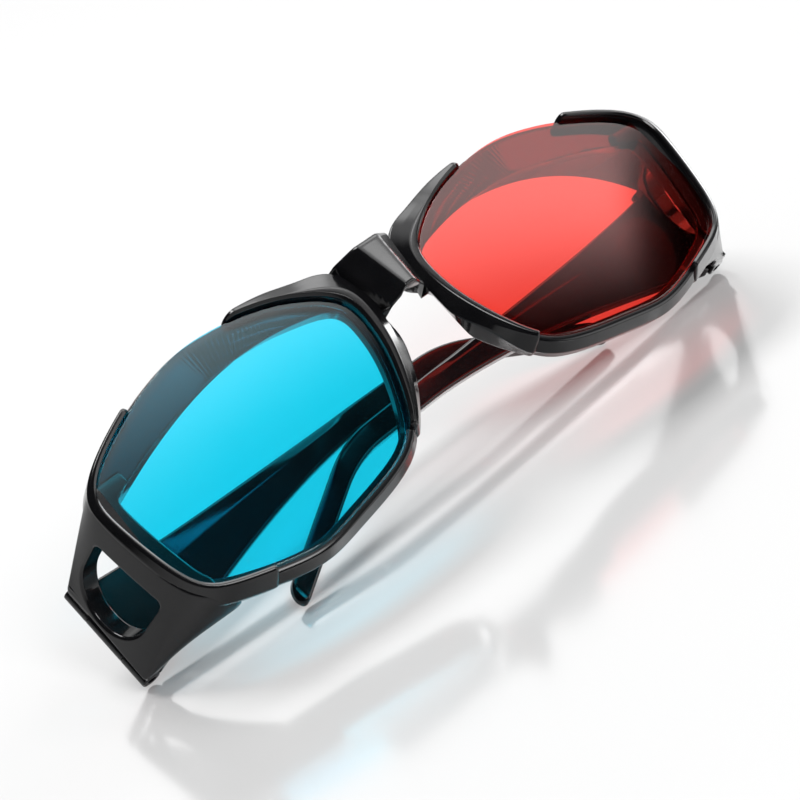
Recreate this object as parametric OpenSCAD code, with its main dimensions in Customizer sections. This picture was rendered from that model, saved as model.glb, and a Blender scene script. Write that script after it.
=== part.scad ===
// Folded two-colour viewing glasses: wrap-round front, two tinted lenses, two hinged temples.
// Built upright in the wearer's frame (X across, Y back from the foremost surface, Z up),
// then leaned back as one piece so that it lies on the hinge ends and on a temple tip.

/* [View] */
// Piece to draw

/* [Lens] */
// Lens width
lens_w = 58.7; // [54:0.1:62]
// Lens height
lens_h = 43.1; // [40:0.1:46]
// Distance from the middle of the nose to the lens
lens_in = 8.6; // [8:0.1:10]
// Height of the lens crown above the datum line
lens_up = 0.9; // [0:0.1:2]
// Lens thickness
lens_t = 1.9; // [1.2:0.1:2.5]
// Radius of the front's wrap seen from above
wrap_r = 400; // [200:10:800]
// Gap round the lens in its pocket
lens_gap = 0.06; // [0.02:0.01:0.15]

/* [Front] */
// How far the lips stand in front of the lens
lip_rise = 1.6; // [0.8:0.1:2.5]
// Width of the lips round the lens
lip_w = 1.9; // [1.5:0.1:2.8]
// Share of that width that the lips lose at their tips
lip_thin = 0.4; // [0:0.05:0.6]
// Step from the lips down to the rim that shows between them
lip_step = 0.3; // [0.2:0.05:0.6]
// Extra width of the rim on the nose side
nose_w = 1.5; // [0.5:0.1:3]
// Depth of the rim behind the lens
rim_d = 5.2; // [3:0.1:8]
// How far the rim's opening lies inside the lens edge at the sides
open_in = 1.5; // [1:0.1:3]
// Extra height of the rim behind the free top edge of the lens
brow_in = 5.2; // [2:0.1:8]
// Distance from the nose side of the lens to where the brow starts
brow_from = 6; // [2:0.5:10]
// Length over which the brow grows to its full height
brow_run = 26; // [16:1:36]
// How far the top edge of the lens stands above the rim
free_top = 1.2; // [0.5:0.1:2]
// How far the bridge's body lies behind the lips
body_step = 1.2; // [0.6:0.1:2]
// Front bulge of the bridge saddle
saddle_out = 4.2; // [3:0.1:5]
// Half width of the bridge saddle at its top foot
saddle_w = 6.1; // [5:0.1:7]
// Half width of the flat on the saddle's front
flat_w = 2.6; // [2:0.1:3]
// Share of those widths that is left at the nose arch
saddle_narrow = 0.55; // [0.4:0.05:0.8]
// Top of the bridge below the datum line
saddle_top = 3; // [2:0.1:4]
// Height of the nose arch below the datum line
arch_z = 15.3; // [14:0.1:17]
// Radius of the nose arch
arch_r = 4.4; // [3:0.1:6]
// Rise of the nose arch towards the back
arch_rise = 16; // [8:0.5:20]
// Half width of the nose gap at the front
gap_w = 4.6; // [3.8:0.1:5.4]
// How far each side of the nose gap leans away towards the back
gap_lean = 5; // [3:0.1:7]

/* [End pieces] */
// Half width over the hinge ends
half_w = 74; // [68:0.5:80]
// Wall thickness of the end pieces
wall_t = 3.6; // [3:0.1:5]
// Depth of the hinge axis behind the foremost surface
hinge_y = 30.5; // [24:0.1:36]
// Top of the end piece at the hinge, below the datum line
end_top = 15.8; // [12:0.1:20]
// Bottom of the end piece at the hinge, below the datum line
end_low = 37.4; // [34:0.1:42]
// Top of the end piece at the rim, below the datum line
rim_top = 9.3; // [7:0.1:12]
// Bottom of the end piece at the rim, below the datum line
rim_low = 41.3; // [39:0.1:43]
// Front end of the ridge under the end piece, below the datum line
ridge_z = 33.5; // [31:0.1:36]
// How far the face under that ridge runs inwards
ridge_in = 4.2; // [2:0.1:6]
// How far the face under that ridge drops over that run
ridge_drop = 6.5; // [4:0.1:9]
// Radius of the round end of the side window
win_r = 7.7; // [5:0.1:8.5]
// Centre of that round end behind the foremost surface
win_y = 19.2; // [18:0.1:20]
// Centre of the side window below the datum line
win_z = 24.4; // [23:0.1:26]
// Distance from that centre forward to the window's straight edge
win_flat = 6.8; // [4:0.1:7]
// Radius of the window's two front corners
win_corner = 1.5; // [0.5:0.1:3]

/* [Temples] */
// Length of a temple from its hinge
temple_len = 117; // [100:1:140]
// Thickness of a temple
temple_t = 2.8; // [2.4:0.1:4]
// Height of a temple at its hinge
root_h = 21.2; // [16:0.1:26]
// Height of the slim arm
arm_h = 4.7; // [3.5:0.1:7]
// Distance from the hinge over which the root thins to the arm
taper_len = 68; // [50:1:90]
// Distance from the hinge to the ear bend
hook_at = 82; // [70:1:95]
// Slope of the ear hook below the arm
hook_slope = 27.6; // [15:0.1:45]
// Length over which the ear bend turns
hook_turn = 12; // [6:1:20]
// Hang of the folded left temple below level
drop_left = -1; // [-3:0.1:4]
// Hang of the folded right temple below level
drop_right = 3.2; // [0:0.1:5]
// Angle of the folded left temple short of parallel with the front
short_left = 0.9; // [0.5:0.1:4]
// Angle of the folded right temple past parallel with the front
past_right = 3; // [0:0.1:4]

/* [Hinges] */
// Diameter of the hinge knuckles
knuckle_d = 3.8; // [3:0.1:5]
// Diameter of the screw shank
screw_d = 1.6; // [1.2:0.1:2]
// Radial running clearance of the screw in the knuckles
screw_gap = 0.05; // [0.02:0.01:0.1]
// Diameter of the screw head
head_d = 2.6; // [2:0.1:3]
// Height of the screw head
head_h = 1; // [0.6:0.1:1.5]
// Height of the middle knuckle
mid_h = 9; // [6:0.1:12]
// Clearance between parts that move past each other
move_gap = 0.35; // [0.3:0.05:0.6]

/* [Rest] */
// Lean of the front from upright as it lies on the floor
lean = 46; // [0:0.5:90]
// Shift in depth that centres the part on its origin
rest_y = 9.4; // [0:0.01:40]
// Lift that sets the part on the floor
rest_z = 49.3; // [0:0.01:60]

/* [Hidden] */
steps = 5;
lens_front = lip_rise;
lens_back = lens_front + lens_t;
rim_back = lens_back + rim_d;
hinge_x = half_w - knuckle_d / 2 - 0.1;
hinge_z = -(end_top + end_low) / 2;
span = end_low - end_top;
wall_x = half_w - 0.1;
wall_end = hinge_y - knuckle_d / 2 - move_gap;
root_r = knuckle_d / 2 + move_gap;
cap_h = (span - mid_h) / 2 - move_gap;
// Outermost point of the lips, and how far back the wrap has carried it
side_x = lens_in + lens_w + lip_w;
side_y = wrap_r - sqrt(wrap_r * wrap_r - side_x * side_x);

// Lens outline as parts of its width and height, clockwise from the crown
shape = [[0.467, 1], [0.637, 0.968], [0.756, 0.914], [0.9, 0.821], [0.99, 0.71], [1, 0.573],
         [0.981, 0.399], [0.937, 0.195], [0.848, 0.1], [0.722, 0.042], [0.577, 0], [0.416, 0.028],
         [0.194, 0.107], [0.082, 0.271], [0.02, 0.48], [0, 0.645], [0.02, 0.775], [0.116, 0.879],
         [0.254, 0.956]];
// Where the outer and the nose lip start and end along that outline
outer_lip = [1.92, 8.97];
nose_lip = [12.45, 18.45];
// Half of the bridge's body from its tip over the lens, along its top and down beside the nose gap
bridge = [[28.6, 0.9], [22.4, 0.8], [16.4, -0.4], [12.5, -1.4], [8.6, -2.3], [saddle_w, -saddle_top],
          [0, -saddle_top], [0, -arch_z], [2.6, -arch_z - 1], [4, -18], [4.6, -20], [5.4, -22], [7.6, -26.8],
          [10.5, -31.5], [12.6, -34], [14.4, -35.4]];

function corner(i) = let (p = shape[(i + len(shape)) % len(shape)])
    [lens_in + p[0] * lens_w, lens_up + (p[1] - 1) * lens_h];
function curve(a, b, c, d, t) = 0.5 * (2 * b + (c - a) * t + (2 * a - 5 * b + 4 * c - d) * t * t
    + (3 * b - a - 3 * c + d) * t * t * t);
count = len(shape) * steps;
function edge(k) = let (j = (k + count) % count, i = floor(j / steps), t = (j % steps) / steps)
    curve(corner(i - 1), corner(i), corner(i + 1), corner(i + 2), t);
function out(k) = let (d = edge(k + 1) - edge(k - 1)) [-d[1], d[0]] / norm(d);
function up(k) = pow(max(0, out(k)[1]), 2);
function nose(k) = pow(max(0, -out(k)[0]), 2);
function brow(k) = min(1, max(0, (edge(k)[0] - lens_in - brow_from) / brow_run));
function lip_at(k) = lip_w * (1 - lip_thin * up(k)) + nose_w * nose(k);
function rim_at(k) = (lip_at(k) - lip_step) * (1 - up(k)) - free_top * up(k);
function open_at(k) = -open_in - brow_in * up(k) * brow(k);
function moved(k, d) = edge(k) + d * out(k);

// Temple edges in its own plane, measured from the hinge
function bend(r) = let (d = r - hook_at)
    d < 0 ? 0 : d < hook_turn ? d * d / (2 * hook_turn) * tan(hook_slope)
    : (d - hook_turn / 2) * tan(hook_slope);
function top_at(r) = -end_top - 0.8 - 1.5 * (1 - exp(-r / 12)) - 0.8 * r / temple_len - bend(r);
function high_at(r) = arm_h + (root_h - arm_h) * pow(max(0, 1 - r / taper_len), 1.7);
function along(i, n) = root_r + (temple_len - 2 - root_r) * i / n;

module lean_back() {
    translate([0, rest_y, rest_z]) rotate([-lean, 0, 0]) children();
}

// A slab of the wrapped front between two depths behind its foremost surface
module wrap(y0, y1) {
    translate([0, wrap_r, -60]) difference() {
        cylinder(h = 80, r = wrap_r - y0, $fn = 240);
        translate([0, 0, -1]) cylinder(h = 82, r = wrap_r - y1, $fn = 240);
        translate([-wrap_r, -wrap_r + 40, -2]) cube([2 * wrap_r, 2 * wrap_r, 84]);
    }
}

// A drawing in the plane of the lens, carried straight back through the front
module through() {
    translate([0, 40, 0]) rotate([90, 0, 0]) linear_extrude(60) children();
}

module lens_plan(d) {
    polygon([for (k = [0 : count - 1]) moved(k, d)]);
}

module open_plan() {
    polygon([for (k = [0 : count - 1]) moved(k, open_at(k))]);
}

module rim_plan() {
    polygon([for (k = [0 : count - 1]) moved(k, rim_at(k))]);
}

// A lip from one place along the outline to another, with a foot that reaches into the rim
module lip_plan(run) {
    foot = 2 * free_top;
    places = [run[0] * steps : (run[1] - run[0]) * steps / 32 : run[1] * steps + 0.01];
    outside = [for (k = places) moved(k, lip_at(k))];
    inside = [for (k = places) moved(k, -foot)];
    polygon(concat(outside, [for (i = [len(inside) - 1 : -1 : 0]) inside[i]]));
}

module lens_solid() {
    intersection() {
        through() lens_plan(0);
        wrap(lens_front, lens_back);
    }
}

// Room for the lens, open to the front
module lens_pocket() {
    intersection() {
        through() lens_plan(lens_gap);
        wrap(-20, lens_back + 0.02);
    }
}

// Body of the bridge on one side, from the lip's foot to the middle
module bridge_plan() {
    foot = 2 * free_top;
    inside = [for (k = [nose_lip[0] * steps : (nose_lip[1] - nose_lip[0]) * steps / 32 : nose_lip[1] * steps])
        moved(k, -foot)];
    polygon(concat(bridge, inside));
}

// Rim and lips of one side, before the lens is let in
module rim_side() {
    intersection() {
        through() bridge_plan();
        wrap(body_step, rim_back);
    }
    intersection() {
        through() rim_plan();
        wrap(lens_front + lip_step, rim_back);
    }
    intersection() {
        through() {
            lip_plan(outer_lip);
            lip_plan(nose_lip);
        }
        wrap(0, rim_back);
    }
}

// A drawing in the side view, carried across from one distance off the middle to another
module side_view(x0, x1) {
    translate([x0, 0, 0]) rotate([90, 0, 90]) linear_extrude(x1 - x0) children();
}

// End piece: a wall that turns the corner and runs back to the hinge
module end_piece() {
    front = side_y + 4;
    difference() {
        intersection() {
            translate([0, 0, -60]) linear_extrude(60)
                polygon([[side_x - 9, front], [side_x - 1.6, front], [side_x - 0.5, front + 0.6],
                         [side_x, front + 1.8], [wall_x, wall_end], [wall_x - wall_t, wall_end],
                         [side_x - wall_t + 0.7, front + 7], [side_x - wall_t - 1.4, front + 3.6],
                         [side_x - 9, front + 2.4]]);
            side_view(0, 2 * half_w)
                polygon([[4, -rim_top], [16, 0.6 - (rim_top + end_top) / 2], [wall_end + 1, -end_top],
                         [wall_end + 1, -end_low], [20, -end_low - 1], [9.5, -rim_low],
                         [4, -rim_low - 1]]);
        }
        under_cut();
    }
}

// Everything outside the face that runs from the ridge down to the bottom of the end piece
module under_cut() {
    a = [side_x - 1, side_y + 2, -ridge_z];
    b = a - [ridge_in, 0, ridge_drop];
    c = [half_w + 0.4, wall_end, -end_low];
    n = cross(b - a, c - a);
    translate(a) rotate([0, acos(n[2] / norm(n)), atan2(n[1], n[0])])
        translate([-100, -100, 0]) cube([200, 200, 50]);
}

module side_window() {
    side_view(side_x - 12, 2 * half_w) {
        translate([win_y, -win_z]) circle(r = win_r, $fn = 64);
        translate([win_y - win_flat + win_corner, -win_z - win_r]) square([win_flat - win_corner, 2 * win_r]);
        translate([win_y - win_flat, win_corner - win_z - win_r]) square([win_flat, 2 * (win_r - win_corner)]);
        for (s = [-1, 1]) translate([win_y - win_flat + win_corner, s * (win_r - win_corner) - win_z])
            circle(r = win_corner, $fn = 32);
    }
}

// Wedge that leans the nose side of the rim away from the middle
module nose_wedge() {
    far = rim_back + 1;
    translate([0, 0, -60]) linear_extrude(60 - arch_z)
        polygon([[0, -9], [gap_w - 0.4, -9], [gap_w, 0.5], [gap_w + gap_lean, far], [0, far]]);
}

// A flat of the saddle: wide above and narrow at the nose arch
module saddle_flat(half, top, low, y) {
    slim = half * saddle_narrow;
    translate([0, y, 0]) rotate([90, 0, 0]) linear_extrude(0.1)
        polygon([[-half, -top], [half, -top], [slim, -low], [-slim, -low]]);
}

// Saddle: a blunt wedge that stands out in front of the bridge's body
module saddle() {
    hull() {
        saddle_flat(flat_w, saddle_top + 1, arch_z, 0.1 - saddle_out);
        saddle_flat(saddle_w, saddle_top, arch_z + 1, body_step + 0.4);
    }
}

// The nose arch, which rises towards the back
module nose_arch() {
    translate([0, -saddle_out, -arch_z - arch_r]) rotate([arch_rise - 90, 0, 0])
        translate([0, 0, -5]) cylinder(h = 40, r = arch_r, $fn = 64);
}

// Moves a hinge drawn on the Z axis to its place on one side
module at_hinge(side) {
    translate([side * hinge_x, hinge_y, hinge_z])
        rotate([0, side > 0 ? -drop_right : drop_left, 0]) children();
}

module front_knuckles() {
    for (s = [-1, 1]) translate([0, 0, s > 0 ? span / 2 - cap_h : -span / 2]) {
        cylinder(h = cap_h, d = knuckle_d, $fn = 48);
        translate([-knuckle_d / 2, -knuckle_d, 0]) cube([knuckle_d, knuckle_d, cap_h]);
    }
}

module knuckle_bore() {
    translate([0, 0, -span]) cylinder(h = 2 * span, d = screw_d + 2 * screw_gap, $fn = 48);
}

module head_bore() {
    translate([0, 0, span / 2 - head_h]) cylinder(h = head_h + 2, d = head_d + 2 * screw_gap, $fn = 48);
}

module temple_shape() {
    n = 48;
    linear_extrude(temple_t, center = true)
        polygon(concat([for (i = [0 : n]) let (r = along(i, n)) [r, top_at(r)]],
                       [[temple_len - 0.7, top_at(temple_len) - 0.2],
                        [temple_len, top_at(temple_len) - arm_h * 0.35],
                        [temple_len - 0.7, top_at(temple_len) - arm_h * 0.8]],
                       [for (i = [n : -1 : 0]) let (r = along(i, n)) [r, top_at(r) - high_at(r)]]));
}

// A temple opened straight back from a hinge on the Z axis
module temple_open() {
    difference() {
        union() {
            translate([0, 0, -hinge_z]) rotate([90, 0, 90]) temple_shape();
            translate([0, 0, -mid_h / 2]) {
                cylinder(h = mid_h, d = knuckle_d, $fn = 48);
                translate([-temple_t / 2, 0, 0]) cube([temple_t, root_r + 1, mid_h]);
            }
        }
        knuckle_bore();
    }
}

module hinge_screw() {
    difference() {
        union() {
            translate([0, 0, -span / 2]) cylinder(h = span - 0.2, d = screw_d, $fn = 48);
            translate([0, 0, span / 2 - head_h + 0.05]) cylinder(h = head_h - 0.1, d = head_d, $fn = 48);
        }
        translate([-head_d, -0.2, span / 2 - 0.45]) cube([2 * head_d, 0.4, 1]);
    }
}

module front_frame() {
    color([0.03, 0.03, 0.035]) lean_back() difference() {
        union() {
            saddle();
            for (m = [0, 1]) mirror([m, 0, 0]) difference() {
                union() {
                    rim_side();
                    end_piece();
                }
                lens_pocket();
                nose_wedge();
                through() open_plan();
                side_window();
            }
            for (s = [-1, 1]) at_hinge(s) front_knuckles();
        }
        nose_arch();
        for (s = [-1, 1]) at_hinge(s) {
            knuckle_bore();
            head_bore();
        }
    }
}

module lens_cyan() {
    color([0, 0.75, 0.95, 0.7]) lean_back() mirror([1, 0, 0]) lens_solid();
}

module lens_red() {
    color([0.95, 0.15, 0.12, 0.7]) lean_back() lens_solid();
}

module temple_left() {
    color([0.04, 0.04, 0.045]) lean_back() at_hinge(-1) rotate([0, 0, short_left - 90]) temple_open();
}

module temple_right() {
    color([0.04, 0.04, 0.045]) lean_back() at_hinge(1) rotate([0, 0, 90 + past_right]) temple_open();
}

module hinge_screw_left() {
    color([0.7, 0.7, 0.72]) lean_back() at_hinge(-1) hinge_screw();
}

module hinge_screw_right() {
    color([0.7, 0.7, 0.72]) lean_back() at_hinge(1) hinge_screw();
}

front_frame();
lens_cyan();
lens_red();
temple_left();
temple_right();
hinge_screw_left();
hinge_screw_right();
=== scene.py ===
import math

import bmesh
import bpy
import numpy as np
from mathutils import Matrix, Vector


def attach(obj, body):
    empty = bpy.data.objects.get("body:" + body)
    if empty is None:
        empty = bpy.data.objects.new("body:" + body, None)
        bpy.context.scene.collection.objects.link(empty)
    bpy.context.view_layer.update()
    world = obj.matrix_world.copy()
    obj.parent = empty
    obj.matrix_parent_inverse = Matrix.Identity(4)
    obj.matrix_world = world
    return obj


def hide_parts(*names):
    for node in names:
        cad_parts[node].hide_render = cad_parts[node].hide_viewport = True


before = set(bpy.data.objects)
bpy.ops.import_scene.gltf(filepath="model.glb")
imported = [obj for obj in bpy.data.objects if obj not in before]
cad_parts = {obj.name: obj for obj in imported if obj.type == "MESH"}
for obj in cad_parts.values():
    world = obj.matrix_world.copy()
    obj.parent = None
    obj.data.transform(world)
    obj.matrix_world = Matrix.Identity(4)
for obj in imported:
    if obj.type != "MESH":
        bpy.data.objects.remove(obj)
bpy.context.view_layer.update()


# Rims: the two lens surrounds of the front, injection-moulded in glossy black plastic. Each one holds its
# lens between a raised outer lip and a raised nose lip; between the lips the lens edge stands free at the
# top, and at the bottom the rim drops to a low band. Their edges are rounded as the mould leaves them.
LENS_WIDE, LENS_HIGH, LENS_IN, LENS_UP = 58.7, 43.1, 8.6, 0.9
LENS_FRONT, LENS_BACK, RIM_BACK = 1.6, 3.5, 8.7
LENS_SHAPE = np.array([
    (0.467, 1), (0.637, 0.968), (0.756, 0.914), (0.9, 0.821), (0.99, 0.71), (1, 0.573), (0.981, 0.399),
    (0.937, 0.195), (0.848, 0.1), (0.722, 0.042), (0.577, 0), (0.416, 0.028), (0.194, 0.107),
    (0.082, 0.271), (0.02, 0.48), (0, 0.645), (0.02, 0.775), (0.116, 0.879), (0.254, 0.956)])
LENS_CORNERS = np.stack([LENS_IN + LENS_SHAPE[:, 0] * LENS_WIDE,
                         LENS_UP + (LENS_SHAPE[:, 1] - 1) * LENS_HIGH], 1)
WRAP_RADIUS = 400.0
LEAN = math.radians(46)
REST_BACK, REST_LIFT = 9.4, 49.3


def lay(points):
    """Carries points of the upright glasses (across, back, up; mm) to where they lie on the floor (m)."""
    across, back, up = np.moveaxis(np.asarray(points, float), -1, 0)
    return np.stack([across, back * math.cos(LEAN) + up * math.sin(LEAN) + REST_BACK,
                     up * math.cos(LEAN) - back * math.sin(LEAN) + REST_LIFT], -1) / 1000


def bow(across):
    """How far the wrap of the front carries a place back."""
    return WRAP_RADIUS - np.sqrt(WRAP_RADIUS ** 2 - np.square(across))


def smooth(low, high, value):
    """Rises from 0 at low to 1 at high with level ends."""
    part = np.clip((np.asarray(value, float) - low) / (high - low), 0, 1)
    return part * part * (3 - 2 * part)


corner_count = len(LENS_CORNERS)
ring_matrix = 4 * np.eye(corner_count) + np.roll(np.eye(corner_count), 1, 1) + np.roll(np.eye(corner_count), -1, 1)
lens_slopes = np.linalg.solve(ring_matrix, 3 * (np.roll(LENS_CORNERS, -1, 0) - np.roll(LENS_CORNERS, 1, 0)))


def lens_edge(place):
    """Points of the lens edge and their outward directions, at places counted in corners from the crown."""
    place = np.asarray(place, float) % corner_count
    first = np.floor(place).astype(int) % corner_count
    second = (first + 1) % corner_count
    s = (place - np.floor(place))[:, None]
    a, b = LENS_CORNERS[first], LENS_CORNERS[second]
    da, db = lens_slopes[first], lens_slopes[second]
    point = ((2 * s ** 3 - 3 * s ** 2 + 1) * a + (s ** 3 - 2 * s ** 2 + s) * da
             + (3 * s ** 2 - 2 * s ** 3) * b + (s ** 3 - s ** 2) * db)
    slope = ((6 * s ** 2 - 6 * s) * (a - b) + (3 * s ** 2 - 4 * s + 1) * da + (3 * s ** 2 - 2 * s) * db)
    outward = np.stack([-slope[:, 1], slope[:, 0]], 1) / np.linalg.norm(slope, axis=1)[:, None]
    return point, outward


def rounded_loops(corners, radii, steps):
    """Rounds each corner of many closed sections at once; corners is (section, corner, axis)."""
    before, after = np.roll(corners, 1, 1) - corners, np.roll(corners, -1, 1) - corners
    long_b, long_a = np.linalg.norm(before, axis=2), np.linalg.norm(after, axis=2)
    # A rounding takes a little less than half of the shorter edge beside it
    reach = np.minimum(radii, 0.45 * np.minimum(long_b, long_a))
    start = corners + before / long_b[..., None] * reach[..., None]
    end = corners + after / long_a[..., None] * reach[..., None]
    t = np.linspace(0, 1, steps)[None, None, :, None]
    arc = (1 - t) ** 2 * start[:, :, None] + 2 * t * (1 - t) * corners[:, :, None] + t ** 2 * end[:, :, None]
    return arc.reshape(len(corners), -1, corners.shape[2])


def closed_tube(rings, joined=True):
    """Faces between rings of equal length; joined, the last ring leads on to the first, else the ends stay open."""
    count, size = len(rings), len(rings[0])
    faces = []
    for i in range(count if joined else count - 1):
        j = (i + 1) % count
        for k in range(size):
            m = (k + 1) % size
            faces.append((i * size + k, i * size + m, j * size + m, j * size + k))
    return faces


def shell(name, points, faces):
    """A closed mesh object from laid points, with its doubles merged and its faces turned outwards."""
    mesh = bpy.data.meshes.new(name)
    mesh.from_pydata([tuple(p) for p in points], [], faces)
    work = bmesh.new()
    work.from_mesh(mesh)
    bmesh.ops.remove_doubles(work, verts=work.verts, dist=2e-7)
    bmesh.ops.dissolve_degenerate(work, edges=work.edges, dist=1e-7)
    bmesh.ops.recalc_face_normals(work, faces=work.faces)
    work.to_mesh(mesh)
    work.free()
    made = bpy.data.objects.new(name, mesh)
    bpy.context.scene.collection.objects.link(made)
    return made


# Where the lips start and end along the lens edge, and how quickly each end rises from the rim
OUTER_LIP, NOSE_LIP = (1.92, 8.97), (12.45, 18.45)
TIP_RISE, FOOT_RISE = 0.19, 0.07
LIP_WIDE, LIP_THIN, LIP_STEP = 1.9, 0.4, 0.3
# Outer width of the bridge's body beyond the nose lip, and of the lip's flat front, along the lens edge
BODY_PLACES = (12.3, 12.73, 13.05, 13.56, 14.15, 14.7, 15.2, 15.8,
               16.2, 16.5, 16.88, 17.33, 17.65, 17.95, 18.22, 18.5)
BODY_WIDTHS = (1.9, 2.4, 3.0, 3.8, 4.4, 4.9, 5.0, 5.2,
               5.6, 5.3, 4.0, 3.1, 2.56, 2.1, 1.5, 0.9)
FLAT_PLACES = (12.3, 12.7, 13.5, 15, 16, 16.5, 17, 17.45, 18, 18.5)
FLAT_WIDTHS = (0.9, 1.0, 1.4, 1.7, 2.0, 1.5, 1.0, 0.6, 0.4, 0.3)
# How far the rim's opening lies inside the lens edge: deep behind the brow, slight beside the nose
OPEN_PLACES = (-4, -3, -2.5, -2, -1.5, -1, -0.5, 0, 0.5, 1.5, 2.4, 3.2,
               4.3, 6.5, 7.5, 9, 10.5, 11.7, 12.5, 13.5, 15, 16, 16.5)
OPEN_WIDTHS = (0.9, 0.9, 2.0, 3.3, 4.3, 5.2, 6.3, 7.0, 7.3, 7.2, 6.4, 5.4,
               3.4, 3.1, 2.0, 1.5, 1.6, 1.6, 1.2, 0.9, 0.9, 0.9, 2.0)
OPEN_DRAFT, NOSE_SHALLOW, END_SHALLOW, FREE_TOP = 0.3, 2.7, 2.2, -0.5
# The pocket round the lens, the facets on both sides of the lip's flat front, and the bevel beyond them
POCKET_GAP, LEAST_LIP, LEAST_BACK = 0.06, 0.12, 0.9
EDGE_WIDE, EDGE_SLOPE, NOSE_EDGE_WIDE, NOSE_EDGE_SLOPE = 0.42, 0.57, 0.5, 1.0
LEVEL_SHORT, FACET_WIDE, FACET_SLOPE, BEVEL_SLOPE = 1.15, 0.42, 0.25, 0.62
# The girth that the rim's underside swells to before it draws in to the back
GIRTH_OUT, GIRTH_BACK, UNDER_DRAFT = 0.6, 4.6, 0.3
# Rounding of the section's corners, from the pocket over the front and the outside to the back and the opening
RIM_ROUNDS = (0.12, 0.12, 0.3, 0.15, 0.35, 0.6, 0.6, 0.2, 0.02)
# The nose gap between the rims, and the top of its arch
GAP_HALF, GAP_SLOPE, GAP_FRONT, GAP_ROUND, ARCH_UP = 4.6, 0.543, 0.5, 0.4, -15.3


def lip_presence(place):
    """1 on a lip, 0 between the lips, with a rounded rise at each end."""
    def rise(distance, length):
        return np.sqrt(np.clip(1 - np.square(1 - np.clip(distance / length, 0, 1)), 0, 1))
    outer = np.minimum(rise(place - OUTER_LIP[0], TIP_RISE), rise(OUTER_LIP[1] - place, FOOT_RISE))
    nose = np.minimum(rise(place - NOSE_LIP[0], FOOT_RISE), rise(NOSE_LIP[1] - place, TIP_RISE))
    return np.maximum(outer, nose)


def eased(place, places, values):
    """Reads a table along the lens edge without kinks."""
    return np.mean([np.interp(place + shift, places, values) for shift in np.linspace(-0.22, 0.22, 9)], 0)


def beside_nose(place):
    """Whether a place lies on the nose lip or just past its ends."""
    return (place > NOSE_LIP[0] - 0.2) & (place < NOSE_LIP[1] + 0.2)


def lip_width(place):
    """Width of the moulding outside the lens edge and of its flat front, with the share of upward facing."""
    outward = lens_edge(place)[1]
    upward = np.square(np.clip(outward[:, 1], 0, None))
    on_nose = beside_nose(place)
    plain = LIP_WIDE * (1 - LIP_THIN * upward)
    wide = np.where(on_nose, eased(place, BODY_PLACES, BODY_WIDTHS), plain)
    level = np.where(on_nose, eased(place, FLAT_PLACES, FLAT_WIDTHS), plain - LEVEL_SHORT)
    return wide, level, upward


def rim_opening(place):
    """Offset of the rim's opening from the lens edge."""
    place = np.where(place > corner_count - 2.6, place - corner_count, place)
    return -eased(place, OPEN_PLACES, OPEN_WIDTHS)


def nose_limit(points):
    """Keeps the nose side of the rim out of the nose gap, whose walls lean apart towards the back."""
    wall = GAP_HALF + GAP_SLOPE * (points[..., 1] - GAP_FRONT)
    short = wall - points[..., 0]
    share = smooth(ARCH_UP + 3, ARCH_UP - 1.5, points[..., 2])
    points[..., 0] += share * 0.5 * (short + np.sqrt(short ** 2 + GAP_ROUND ** 2))
    return points


# Sections stand evenly along the lens edge, and closer where a lip ends
LIP_END_STEPS = np.array([-0.02, 0.01, 0.05, 0.12, 0.22, 0.35, 0.5, 0.7, 0.9])
rim_places = set(np.round(np.arange(0, corner_count, 1 / 15), 4))
for lip_end, onward, length in ((OUTER_LIP[0], 1, TIP_RISE), (OUTER_LIP[1], -1, FOOT_RISE),
                                (NOSE_LIP[0], 1, FOOT_RISE), (NOSE_LIP[1], -1, TIP_RISE)):
    rim_places.update(np.round(lip_end + onward * length * LIP_END_STEPS, 4))
rim_places = np.array(sorted(rim_places))
rim_places = rim_places[np.insert(np.diff(rim_places) > 0.0008, 0, True)]

edge_points, edge_out = lens_edge(rim_places)
lip_full, lip_flat, facing_up = lip_width(rim_places)
presence = lip_presence(rim_places)
low_rim = (np.minimum(lip_full, LIP_WIDE) - LIP_STEP) * (1 - facing_up) - FREE_TOP * facing_up
outside = low_rim + (lip_full - low_rim) * presence
low_front = LENS_FRONT + LIP_STEP + (LENS_BACK - 0.05 - LENS_FRONT - LIP_STEP) * smooth(0.02, 0.25, facing_up)
front_at = low_front * (1 - presence)
inside = rim_opening(rim_places)
noseward = np.square(np.clip(-edge_out[:, 0], 0, None))
endward = np.square(np.clip(edge_out[:, 0], 0, None))
back_at = RIM_BACK - NOSE_SHALLOW * noseward - END_SHALLOW * endward
inside_back = inside + OPEN_DRAFT * (back_at - LENS_BACK) * (1 - noseward)
pocket = np.minimum(POCKET_GAP, outside - LEAST_LIP)
downward = smooth(0.0, 0.7, -edge_out[:, 1]) * smooth(13.6, 12.6, rim_places)
on_nose = beside_nose(rim_places)
edge_wide = 0.04 + np.where(on_nose, NOSE_EDGE_WIDE, EDGE_WIDE) * presence
edge_at = front_at + np.where(on_nose, NOSE_EDGE_SLOPE, EDGE_SLOPE) * edge_wide
flat = np.clip(np.minimum(lip_flat, outside - 0.1 - 0.5 * downward), pocket + edge_wide + 0.05, None)
bevel = np.clip(BEVEL_SLOPE * (outside - flat), 0.08, 1.6)
facet = np.minimum(np.where(on_nose, 0.5 * (outside - flat), FACET_WIDE), 0.6 * (outside - flat))
facet_at = front_at + np.where(on_nose, bevel / (outside - flat), FACET_SLOPE) * facet
girth = outside + GIRTH_OUT * downward
girth_at = front_at + bevel + downward * (GIRTH_BACK - front_at - bevel)
outside_back = girth - UNDER_DRAFT * downward * (back_at - GIRTH_BACK)
lens_back = np.full_like(outside, LENS_BACK)
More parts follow.
